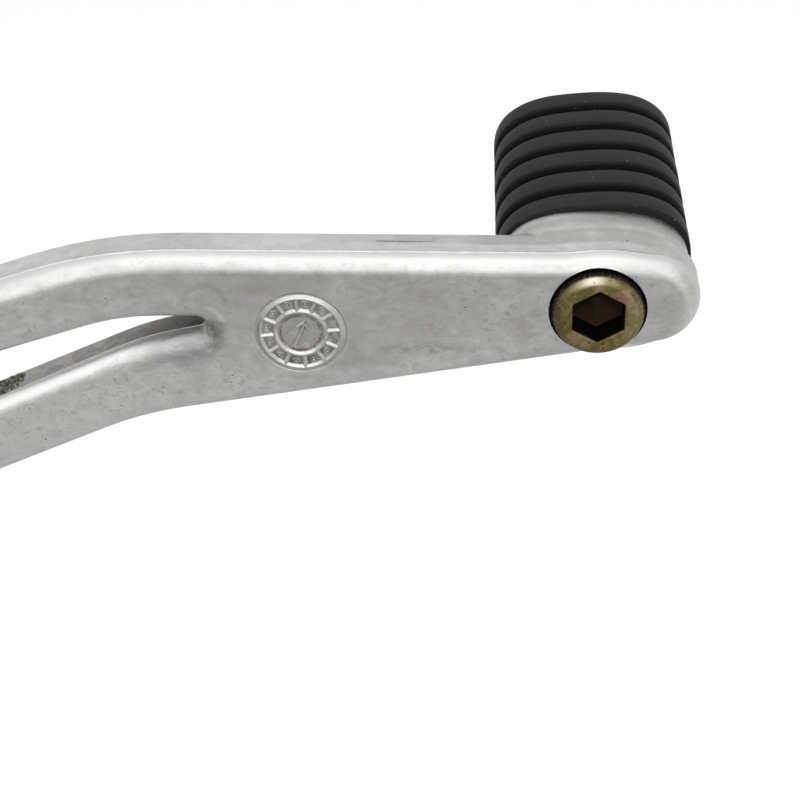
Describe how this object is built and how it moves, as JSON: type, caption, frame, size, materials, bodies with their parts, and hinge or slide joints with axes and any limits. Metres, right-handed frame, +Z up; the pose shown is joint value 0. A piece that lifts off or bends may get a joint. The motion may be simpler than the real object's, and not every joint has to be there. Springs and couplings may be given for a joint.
{
  "type": "rear brake pedal",
  "caption": "Forked cast lever for a motorcycle rear brake, with a ribbed rubber toe peg held by a sunk socket screw, a sprung pivot hub, a push rod eye and a stop screw.",
  "frame": {"origin": "on the pivot axis, where the pivot sleeve seats on the motorcycle's frame", "axes": "+X from the pivot to the toe end, +Y outwards from the frame along the pivot axis and the toe peg, +Z up as in the picture"},
  "size_m": [0.2064, 0.0789, 0.0775],
  "materials": {
    "cast_aluminium": "satin tumbled casting, a little stained",
    "core_aluminium": "plain die casting",
    "peg_rubber": "matt moulded rubber, dusty",
    "yellow_zinc": "yellow passivated zinc plate, worn",
    "bearing_bronze": "sintered bronze",
    "seal_rubber": "smooth nitrile rubber",
    "white_zinc": "bright zinc plate",
    "ground_steel": "ground hardened steel",
    "spring_steel": "oiled dark spring wire"
  },
  "bodies": {
    "pivot": {"pivot_sleeve": "ground_steel", "pivot_bolt": "white_zinc", "pivot_washer": "white_zinc", "return_spring": "spring_steel"},
    "pedal": {"pedal_lever": "cast_aluminium", "toe_peg_core": "core_aluminium", "toe_peg_rubber": "peg_rubber", "toe_peg_bolt": "yellow_zinc", "pivot_bush_inner": "bearing_bronze", "pivot_bush_outer": "bearing_bronze", "dust_seal_inner": "seal_rubber", "dust_seal_outer": "seal_rubber", "stop_screw": "white_zinc", "stop_lock_nut": "white_zinc"}
  },
  "joints": [
    {"name": "pedal_pivot", "type": "hinge", "parent": "pivot", "child": "pedal", "pos_m": [0, 0, 0], "axis": [0, 1, 0], "range_deg": [0, 14], "stiffness_Nm_per_rad": 1.2, "springref_deg": -34.38, "deforming": ["return_spring"]}
  ]
}
